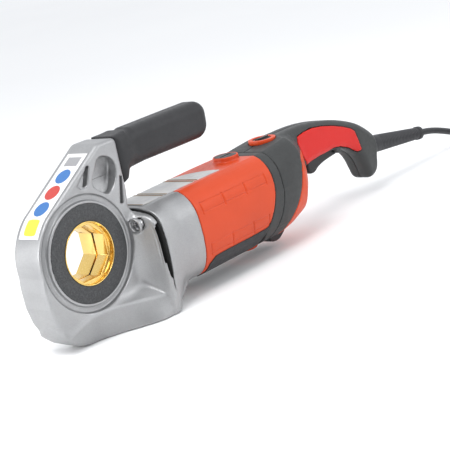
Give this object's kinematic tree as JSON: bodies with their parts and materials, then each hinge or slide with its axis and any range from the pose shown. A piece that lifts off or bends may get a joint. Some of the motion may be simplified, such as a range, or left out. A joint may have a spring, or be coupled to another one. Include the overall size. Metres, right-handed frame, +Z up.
{
  "type": "hand-held electric pipe threading machine",
  "caption": "Hand-held electric pipe threader: ring head with octagonal drive socket, front grip, geared motor body, trigger handle and mains cord.",
  "frame": {"origin": "centre of the octagonal drive socket, in the head's middle plane", "axes": "+X from the socket along the motor body to the rear handle, -Y out of the socket's front face, +Z up"},
  "size_m": [0.84, 0.1748, 0.179],
  "materials": {
    "cast_aluminium": "sand-cast, shot-blasted and clear lacquered, light grey",
    "face_ring_dark": "dark grainy pressed fibre composite",
    "gold_zinc": "yellow-passivated machined steel, bright and smooth",
    "bronze": "sintered bronze",
    "gear_steel": "hobbed and oiled steel",
    "bright_steel": "bright zinc-plated steel",
    "black_steel": "blackened spring steel",
    "core_steel": "laminated electrical steel",
    "copper_wire": "varnished copper winding",
    "carbon": "pressed carbon",
    "gasket_black": "black sealing gasket",
    "grip_rubber": "dark grey moulded vinyl with a fine leather-like grain",
    "orange_plastic": "glass-filled nylon, orange, satin",
    "red_plastic": "smooth red-orange moulded insert",
    "dark_plastic": "dark grey glass-filled nylon, fine matte texture",
    "black_plastic": "black moulded plastic",
    "label_foil": "silver-white foil, blank, with a thin brown-orange edge",
    "sticker_white": "printed strip with plain coloured discs and no symbols",
    "cord_rubber": "dark grey rubber cord sheath",
    "plug_plastic": "dark moulded vinyl",
    "pin_brass": "bright brass blades"
  },
  "bodies": {
    "machine": {"head_casting": "cast_aluminium", "head_cover_ring": "cast_aluminium", "cover_screws": "bright_steel", "face_ring": "face_ring_dark", "front_bushing": "bronze", "rear_bushing": "bronze", "sticker_strip": "sticker_white", "grip_sleeve": "grip_rubber", "grip_screw": "bright_steel", "flange_screws": "bright_steel", "seam_gasket": "gasket_black", "gear_housing": "cast_aluminium", "pinion_bushes": "bronze", "front_gear_plate": "cast_aluminium", "mid_gear_plate": "cast_aluminium", "rear_gear_plate": "cast_aluminium", "front_ball_bearing": "bright_steel", "rear_ball_bearing": "bright_steel", "motor_end_plate": "dark_plastic", "stator": "core_steel", "stator_windings": "copper_wire", "brush_holders": "bronze", "carbon_brushes": "carbon", "brush_caps": "black_plastic", "motor_shell": "orange_plastic", "underside_pad": "grip_rubber", "rating_labels": "label_foil", "rear_collar": "dark_plastic", "handle_left": "dark_plastic", "handle_right": "dark_plastic", "handle_inserts": "red_plastic", "rear_cap": "orange_plastic", "rear_foot": "grip_rubber", "handle_screws": "bright_steel", "trigger_pin": "bright_steel", "trigger_spring": "bright_steel", "trigger_switch": "black_plastic", "knob_bezel": "orange_plastic", "strain_relief": "cord_rubber", "power_cord": "cord_rubber", "cord_coil": "cord_rubber", "cord_tail": "cord_rubber", "plug_body": "plug_plastic", "plug_pins": "pin_brass"},
    "spindle": {"drive_socket": "gold_zinc", "spindle_gear": "gear_steel", "retaining_spring": "black_steel"},
    "cross_shaft": {"cross_pinion": "gear_steel", "bevel_gear": "gear_steel"},
    "bevel_shaft": {"bevel_pinion_shaft": "gear_steel", "second_stage_gear": "gear_steel"},
    "counter_shaft": {"countershaft": "gear_steel", "first_stage_gear": "gear_steel"},
    "armature": {"armature_shaft": "gear_steel", "armature_core": "core_steel", "armature_windings": "copper_wire", "commutator": "copper_wire", "cooling_fan": "black_plastic"},
    "trigger": {"trigger": "black_plastic"},
    "reversing_switch": {"reversing_knob": "black_plastic"}
  },
  "joints": [
    {"name": "spindle_spin", "type": "hinge", "parent": "machine", "child": "spindle", "pos_m": [0, 0, 0], "axis": [0, 1, 0], "continuous": true},
    {"name": "cross_shaft_spin", "type": "hinge", "parent": "machine", "child": "cross_shaft", "pos_m": [0.04932, 0, -0.022], "axis": [0, 1, 0], "continuous": true},
    {"name": "bevel_shaft_spin", "type": "hinge", "parent": "machine", "child": "bevel_shaft", "pos_m": [0.07, 0.01, -0.022], "axis": [1, 0, 0], "continuous": true},
    {"name": "counter_shaft_spin", "type": "hinge", "parent": "machine", "child": "counter_shaft", "pos_m": [0.09, 0.00151, -0.04445], "axis": [1, 0, 0], "continuous": true},
    {"name": "armature_spin", "type": "hinge", "parent": "machine", "child": "armature", "pos_m": [0.17, 0, -0.022], "axis": [1, 0, 0], "continuous": true},
    {"name": "trigger_pull", "type": "hinge", "parent": "machine", "child": "trigger", "pos_m": [0.392, 0, -0.014], "axis": [0, 1, 0], "range_deg": [0, 5], "stiffness_Nm_per_rad": 3, "springref_deg": -2.86, "deforming": ["trigger_spring"]},
    {"name": "reversing_turn", "type": "hinge", "parent": "machine", "child": "reversing_switch", "pos_m": [0.285, 0, 0.026], "axis": [0, 0, 1], "range_deg": [0, 60]}
  ],
  "couplings": [
    {"joint": "cross_shaft_spin", "follows": "spindle_spin", "ratio": -5},
    {"joint": "bevel_shaft_spin", "follows": "spindle_spin", "ratio": -15},
    {"joint": "counter_shaft_spin", "follows": "spindle_spin", "ratio": 45},
    {"joint": "armature_spin", "follows": "spindle_spin", "ratio": -180}
  ]
}
